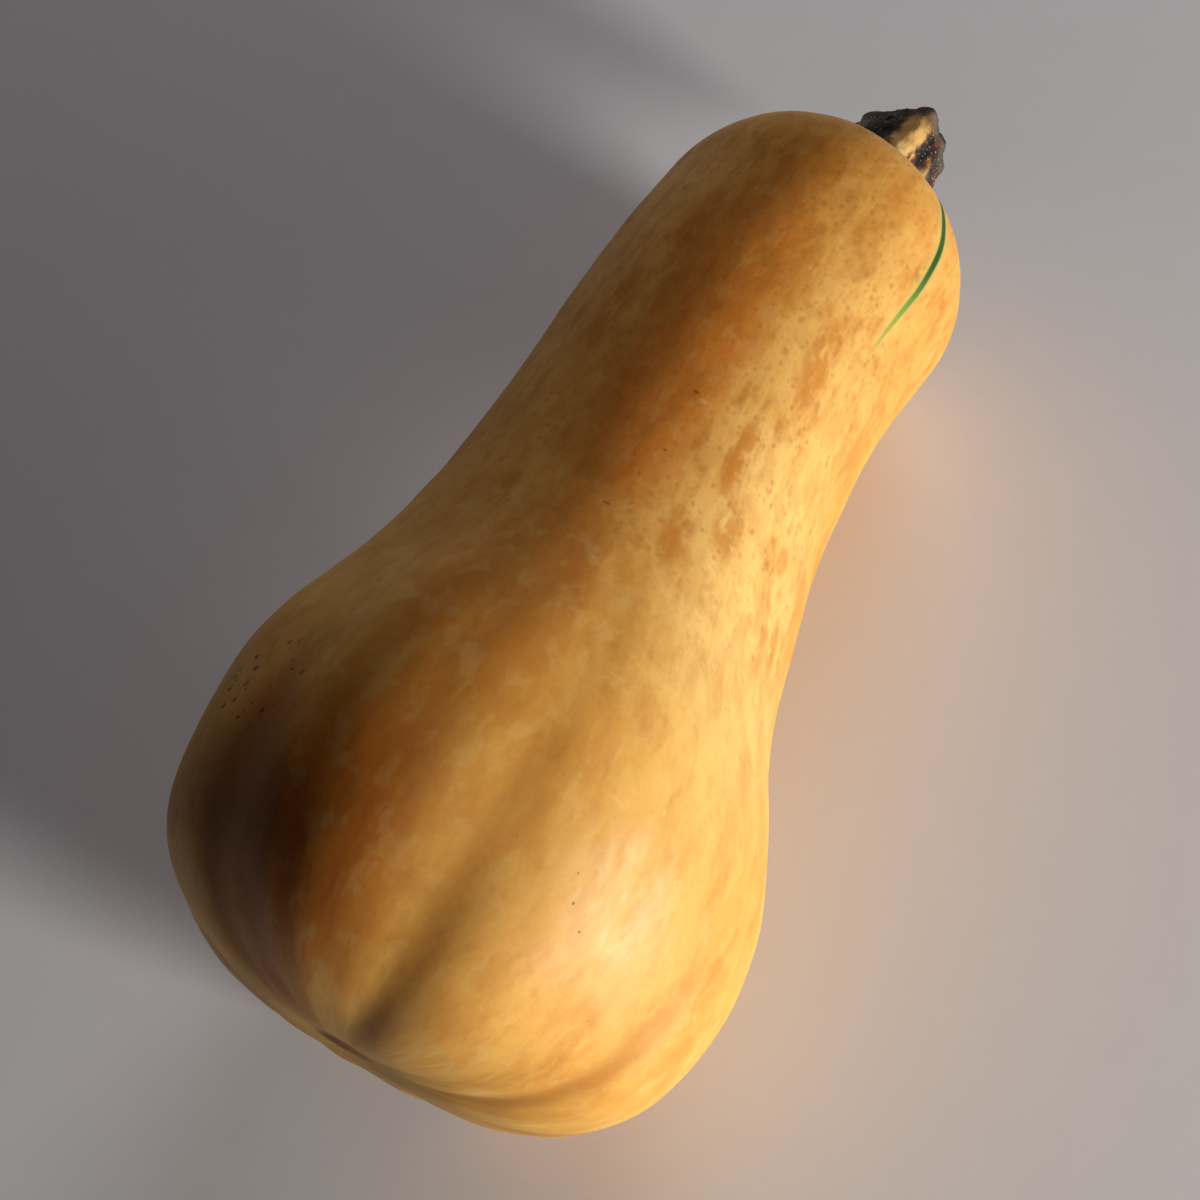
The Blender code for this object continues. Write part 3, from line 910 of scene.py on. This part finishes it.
def freckled(graph, masks, settings, colour):
    """Soft freckles, larger spots and fine dashes, most of them on the top of the neck."""
    plus, times, dots, paint = graph.plus, graph.times, graph.dots, graph.paint
    on_top = graph.step(graph.parts(graph.place)[1], -1.5, 3.0)
    where = times(plus(times(masks.on_neck, 0.75), 0.12), masks.away_from_ends,
                  plus(times(on_top, 0.65), 0.35))
    freckles = graph.most(dots(3.0, 2.2, 0.04, 0.34, 0.50), dots(5.2, 4.0, 0.06, 0.40, 0.60))
    colour = paint(colour, settings.freckle_colour, freckles, where, 0.60)
    spots = dots(1.5, 1.0, 0.10, 0.34, 0.45)
    colour = paint(colour, settings.amber_colour, spots, where, graph.step(masks.edge, 0.0, 0.6), 0.40)
    dashes = dots(4.2, 2.3, 0.06, 0.30, 0.35)
    return paint(colour, settings.freckle_colour, dashes, masks.away_from_ends, 0.26)


def make_skin_material(settings):
    material = new_material("squash_skin")
    graph = SurfaceGraph(material.node_tree)
    plus, times, step, paint = graph.plus, graph.times, graph.step, graph.paint
    masks = rind_masks(graph)
    colour = mottled(graph, masks, settings)
    colour = blotched(graph, masks, settings, colour)
    colour = freckled(graph, masks, settings, colour)

    line = green_line(graph)
    colour = paint(colour, LINE_HALO_COLOUR, line["halo"], 0.35)
    colour = paint(colour, LINE_FAINT_COLOUR, line["faint"])
    colour = paint(colour, settings.line_colour, line["deep"])

    pits = times(step(graph.patch(*PIT_PATCH), 0.0, 0.4), graph.dots(5.8, 5.2, 0.20, 0.12, 0.80))
    pinpricks = times(graph.dots(4.0, 3.4, 0.045, 0.06, 0.10), 0.6)
    dark_specks = [times(graph.patch(*speck), 0.7) for speck in DARK_SPECKS]
    dark_marks = graph.most(pits, pinpricks, *dark_specks)
    colour = paint(colour, DARK_MARK_COLOUR, dark_marks, 0.85)
    pale_marks = graph.most(*[graph.patch(*speck) for speck in PALE_SPECKS])
    colour = paint(colour, PALE_MARK_COLOUR, pale_marks, 0.30)

    # A darker band round the stem's foot, partly painted shade where the stem meets the fruit
    collar_and_shade = times(step(graph.girth, 1.95, 1.45), step(graph.station, 20.0, 21.0))
    colour = paint(colour, COLLAR_AND_SHADE_COLOUR, collar_and_shade, 0.7)
    at_blossom = times(step(graph.girth, 0.75, 0.25), step(graph.station, 4.0, 3.0))
    colour = paint(colour, BLOSSOM_SCAR_COLOUR, at_blossom)
    colour = graph.tinted(colour, plus(times(masks.grain, 0.16), 0.92))

    rough = plus(0.45, times(masks.clouds, 0.06), times(masks.grain, 0.10), times(dark_marks, 0.2),
                 times(at_blossom, 0.3))
    peel = graph.noise(graph.scaled(graph.place, (1.0, 1.0, 0.7)), 7.0, 2.0)
    height = plus(times(peel, 0.45), times(masks.grain, 0.16), times(masks.fine, 0.30),
                  times(masks.threads, masks.on_neck, 0.20), times(dark_marks, -0.9),
                  times(pale_marks, 0.6), times(line["deep"], -0.25))
    bump = graph.node("ShaderNodeBump", {"Height": height, "Strength": 0.35, "Distance": 0.25 * MM})
    graph.surface({"Base Color": colour, "Roughness": rough, "Normal": bump.outputs[0],
                   "Specular IOR Level": 0.22, "Subsurface Weight": 0.75,
                   "Subsurface Radius": (1.0, 0.22, 0.08), "Subsurface Scale": 9 * MM})
    return material


def green_line(graph):
    """The thin green line that curves away from the stem and fades down the neck.

    Stations are in centimetres and the centre is the line's angle from the top in degrees.
    """
    times, step = graph.times, graph.step
    station = graph.station
    beyond = graph.most(graph.math("SUBTRACT", station, 19.9), 0.0)
    centre = graph.plus(-59.3, times(beyond, beyond, 1.45))
    across, up, _ = graph.parts(graph.place)
    turn = graph.math("DEGREES", graph.math("ARCTAN2", across, up))
    away = graph.math("ABSOLUTE", graph.math("SUBTRACT", turn, centre))
    millimetres = times(away, graph.girth, math.radians(10))
    along = times(step(station, 17.2, 20.6), step(station, 23.9, 23.2))
    deep_part = times(step(station, 19.0, 21.0), step(station, 23.9, 23.4))
    width = graph.plus(0.25, times(step(station, 17.0, 22.0, smooth=False), 0.85))
    ratio = graph.math("DIVIDE", millimetres, width)
    return {
        "halo": times(step(ratio, 4.0, 1.2), along),
        "faint": times(step(ratio, 1.5, 0.6), step(station, 17.0, 19.6), step(station, 24.0, 23.4)),
        "deep": times(step(ratio, 1.2, 0.5), deep_part),
    }


def bark_colour(graph, settings, ragged, up):
    """Dark furrows, golden ridges, a cream and brown foot, and a grey hump and rim.

    The grey is partly painted shade, on the hump and below the rim.
    """
    plus, times, step, paint = graph.plus, graph.times, graph.step, graph.paint
    colour = graph.blend(step(ragged, 0.15, 0.55), settings.furrow_colour, settings.foot_colour)
    colour = paint(colour, settings.ridge_colour, step(ragged, 0.40, 0.85), step(up, 0.92, 0.62))
    broken = plus(graph.mottle(3.0, 2.0, 0.35, 0.65, 3.0), 0.25)
    colour = paint(colour, settings.cream_colour, step(ragged, 0.55, 1.0), step(up, 0.62, 0.15), broken)
    colour = paint(colour, settings.foot_colour, step(up, 0.16, 0.03), 0.8, step(ragged, 0.9, 0.4))
    # Grey on one hump and below the rim, partly painted shade on the side away from the light
    grey_and_shade = graph.most(graph.patch(*GREY_AND_SHADE_PATCH), times(step(up, 0.80, 0.90), 0.8))
    colour = paint(colour, GREY_BARK_AND_SHADE_COLOUR, grey_and_shade, 0.8)
    colour = paint(colour, settings.cream_colour, graph.patch(*PALE_FOOT_PATCH), 0.85)
    # The top of the stem darkens to the furrows' colour in a ragged band at the rim
    rim_band_height = plus(up, times(graph.mottle(2.2, 1.2, 0.3, 0.7, 3.0), 0.05))
    return paint(colour, settings.furrow_colour, step(rim_band_height, 0.93, 1.00))


def make_stem_material(settings):
    material = new_material("squash_stem_bark")
    graph = SurfaceGraph(material.node_tree, STEM_GIRTH)
    plus, times, step = graph.plus, graph.times, graph.step
    crest, up, cut = graph.marks
    uneven = plus(graph.mottle(4.0, 1.6, 0.3, 0.7, 3.0), -0.5)
    ragged = plus(crest, times(uneven, 0.5))
    colour = bark_colour(graph, settings, ragged, up)

    band = times(step(up, 0.45, 0.70), step(up, 0.92, 0.84))
    in_furrow = times(step(ragged, 0.55, 0.25), step(up, 0.9, 0.8), 0.6)
    warts = times(graph.dots(13.0, 13.0, 0.15, 0.13, 0.60), step(cut, 0.2, 0.0),
                  plus(graph.most(band, in_furrow), 0.15))
    colour = graph.paint(colour, settings.speck_colour, warts)

    on_cut = step(cut, 0.12, 0.4)
    pith = graph.noise(graph.place, 12.0, 4.0, 0.65)
    colour = graph.paint(colour, graph.blend(step(pith, 0.35, 0.65), *PITH_COLOURS), on_cut)
    fibres = graph.noise(graph.scaled(graph.place, (9.0, 9.0, 3.0)), 1.0, 4.0, 0.6)
    colour = graph.tinted(colour, plus(times(fibres, 0.6), 0.70))
    rough = plus(0.52, times(fibres, 0.35))
    height = plus(fibres, times(warts, 0.8), times(pith, on_cut, 1.5))
    bump = graph.node("ShaderNodeBump", {"Height": height, "Strength": 0.7, "Distance": 0.5 * MM})
    graph.surface({"Base Color": colour, "Roughness": rough, "Normal": bump.outputs[0]})
    return material


def make_floor_material(settings):
    material = new_material("plain_floor")
    graph = Graph(material.node_tree)
    grain = graph.noise(graph.node("ShaderNodeTexCoord").outputs["Object"], 90.0, 3.0)
    low = tuple(0.97 * part for part in settings.floor_colour)
    colour = graph.blend(grain, low, settings.floor_colour)
    graph.surface({"Base Color": colour, "Roughness": 0.9, "Specular IOR Level": 0.2})
    return material


def add_object(name, data):
    obj = bpy.data.objects.new(name, data)
    bpy.context.scene.collection.objects.link(obj)
    return obj


def make_groups():
    """Builds the shared shader groups the first time that a material needs them."""
    makers = {"Mottle": make_mottle_group, "Dots": make_dots_group, "Patch": make_patch_group}
    for name, make in makers.items():
        if name not in bpy.data.node_groups:
            make()


def from_side(azimuth, elevation):
    """The direction from the squash toward a viewer; azimuth 0 is in front, at -Y."""
    turn, lift = math.radians(azimuth), math.radians(elevation)
    level = math.cos(lift)
    return Vector((math.sin(turn) * level, -math.cos(turn) * level, math.sin(lift)))


def add_area_light(name, direction, size, power, colour):
    light = bpy.data.lights.new(name, "AREA")
    light.shape = "DISK"
    light.size = size
    light.energy = power
    light.color = colour
    obj = add_object(name, light)
    obj.location = direction * LIGHT_DISTANCE
    obj.rotation_euler = direction.to_track_quat("Z", "Y").to_euler()
    return obj


class SQUASH_OT_build_fruit(Operator):
    """Build the ribbed fruit with its rind"""

    bl_idname = "squash.build_fruit"
    bl_label = "Build Fruit"

    def execute(self, context):
        settings = context.scene.squash_fruit
        make_groups()
        fruit = add_object("squash_fruit", fruit_mesh(settings))
        fruit.data.materials.append(make_skin_material(settings))
        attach(fruit, "root")
        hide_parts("fruit")
        return {"FINISHED"}


class SQUASH_OT_build_stem(Operator):
    """Build the dried, ridged stem on its seat"""

    bl_idname = "squash.build_stem"
    bl_label = "Build Stem"

    def execute(self, context):
        settings = context.scene.squash_stem
        make_groups()
        place = fruit_place(context.scene.squash_fruit)
        stem = add_object("squash_stem", stem_mesh(settings, place))
        stem.data.materials.append(make_stem_material(settings))
        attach(stem, "root")
        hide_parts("stem")
        return {"FINISHED"}


class SQUASH_OT_build_stage(Operator):
    """Lay the plain floor and set up the lights and the camera"""

    bl_idname = "squash.build_stage"
    bl_label = "Build Stage"

    def execute(self, context):
        settings = context.scene.squash_stage
        half = settings.floor_size / 2
        mesh = bpy.data.meshes.new("floor")
        mesh.from_pydata([(-half, -half, 0), (half, -half, 0), (half, half, 0), (-half, half, 0)],
                         [], [(0, 1, 2, 3)])
        mesh.materials.append(make_floor_material(settings))
        add_object("floor", mesh)
        key_side = from_side(KEY_AZIMUTH, math.degrees(settings.key_elevation))
        add_area_light("key_light", key_side, KEY_SIZE, settings.key_power, KEY_COLOUR)
        second_side = from_side(SECOND_AZIMUTH, SECOND_ELEVATION)
        second_light = add_area_light(
            "second_light", second_side, SECOND_SIZE, settings.second_power, SECOND_COLOUR)
        second_light.visible_glossy = False
        world = bpy.data.worlds.new("soft_sky")
        world.use_nodes = True
        sky = world.node_tree.nodes["Background"].inputs
        sky["Color"].default_value = SKY_COLOUR
        sky["Strength"].default_value = settings.sky_strength
        context.scene.world = world
        context.scene.view_settings.view_transform = "Standard"
        context.scene.camera = add_camera()
        return {"FINISHED"}


def add_camera():
    back = from_side(CAMERA_AZIMUTH, CAMERA_ELEVATION)
    turn, roll = math.radians(CAMERA_AZIMUTH), math.radians(CAMERA_ROLL)
    level = Vector((math.cos(turn), math.sin(turn), 0))
    upright = back.cross(level)
    right = math.cos(roll) * level - math.sin(roll) * upright
    up = math.sin(roll) * level + math.cos(roll) * upright
    camera = add_object("camera", bpy.data.cameras.new("camera"))
    camera.data.lens = CAMERA_LENS
    camera.data.sensor_width = 36.0
    camera.data.clip_start = 0.01
    turned = Matrix((right, up, back)).transposed().to_4x4()
    camera.matrix_world = Matrix.Translation(CAMERA_TARGET + CAMERA_DISTANCE * back) @ turned
    return camera


class SQUASH_PT_panel(Panel):
    bl_idname = "SQUASH_PT_panel"
    bl_label = "Butternut Squash"
    bl_space_type = "VIEW_3D"
    bl_region_type = "UI"
    bl_category = "Squash"

    def draw(self, context):
        for settings_name, operator in (("squash_fruit", "squash.build_fruit"),
                                        ("squash_stem", "squash.build_stem"),
                                        ("squash_stage", "squash.build_stage")):
            box = self.layout.box()
            settings = getattr(context.scene, settings_name)
            for name in settings.__annotations__:
                box.prop(settings, name)
            box.operator(operator)


CLASSES = (FruitSettings, StemSettings, StageSettings, SQUASH_OT_build_fruit, SQUASH_OT_build_stem,
           SQUASH_OT_build_stage, SQUASH_PT_panel)


def register():
    for each in CLASSES:
        bpy.utils.register_class(each)
    bpy.types.Scene.squash_fruit = PointerProperty(type=FruitSettings)
    bpy.types.Scene.squash_stem = PointerProperty(type=StemSettings)
    bpy.types.Scene.squash_stage = PointerProperty(type=StageSettings)


def unregister():
    del bpy.types.Scene.squash_stage
    del bpy.types.Scene.squash_stem
    del bpy.types.Scene.squash_fruit
    for each in reversed(CLASSES):
        bpy.utils.unregister_class(each)


def main():
    register()
    bpy.ops.squash.build_fruit()
    bpy.ops.squash.build_stem()
    bpy.ops.squash.build_stage()


if __name__ == "__main__":
    main()
